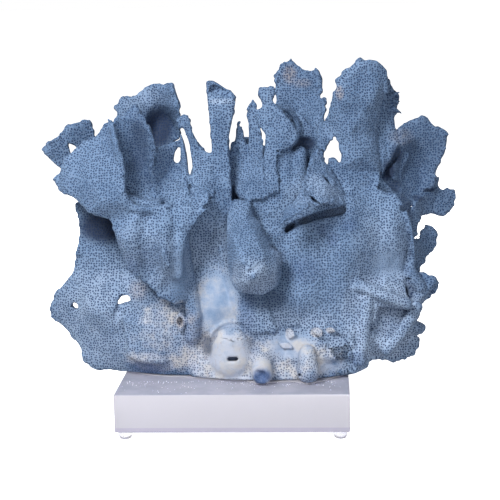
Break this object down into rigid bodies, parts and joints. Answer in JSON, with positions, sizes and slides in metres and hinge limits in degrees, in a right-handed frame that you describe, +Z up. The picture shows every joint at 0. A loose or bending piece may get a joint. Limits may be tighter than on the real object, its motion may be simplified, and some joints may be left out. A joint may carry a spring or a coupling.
{
  "type": "branching coral on a clear block",
  "caption": "Folded, porous blue coral colony of upright wavy plates, glued by its flat-cut foot to a square clear block on soft clear bumper feet, for display.",
  "frame": {"origin": "on the surface it stands on, under the middle of the whole object's box", "axes": "+X to the right across the front of the coral, +Y from the front to the back, +Z up"},
  "size_m": [0.284, 0.1528, 0.239],
  "materials": {
    "coral_blue": "matte, finely pored, steel blue, darker and finer towards the rims",
    "coral_chalk": "matte, chalky, worn smooth and paler near the base",
    "acrylic": "polished clear acrylic with faint lavender tint at the edges",
    "clear_bumper": "soft clear rubber, glossy",
    "glue": "clear glue with sparkling bubbles"
  },
  "bodies": {
    "root": {"acrylic_block": "acrylic", "bumper_back_left": "clear_bumper", "bumper_back_right": "clear_bumper", "bumper_front_left": "clear_bumper", "bumper_front_right": "clear_bumper", "coral_back_left_plate": "coral_blue", "coral_back_middle_plate": "coral_blue", "coral_behind_shelf": "coral_blue", "coral_fan_lobes": "coral_blue", "coral_fan_loop": "coral_blue", "coral_foot": "coral_chalk", "coral_forked_stick": "coral_blue", "coral_front_body": "coral_chalk", "coral_front_drop": "coral_blue", "coral_front_hood": "coral_blue", "coral_front_shelf": "coral_blue", "coral_left_fin": "coral_blue", "coral_left_wing": "coral_blue", "coral_low_fin": "coral_blue", "coral_low_right_plate": "coral_blue", "coral_lower_left_wall": "coral_blue", "coral_pocket_wall": "coral_blue", "coral_rear_left_plate": "coral_blue", "coral_rear_low_plate": "coral_blue", "coral_rear_middle_plate": "coral_blue", "coral_rear_right_plate": "coral_blue", "coral_right_blade": "coral_blue", "coral_right_ear": "coral_blue", "coral_right_fin": "coral_blue", "coral_right_recess_wall": "coral_blue", "coral_right_wall": "coral_blue", "coral_strip_wall": "coral_blue", "coral_thumb": "coral_blue", "coral_top_column": "coral_blue", "coral_top_fan": "coral_blue", "coral_top_fingers": "coral_blue", "coral_tower_left": "coral_blue", "coral_tower_right": "coral_blue", "coral_trunk": "coral_blue", "glue_layer": "glue"}
  },
  "joints": []
}
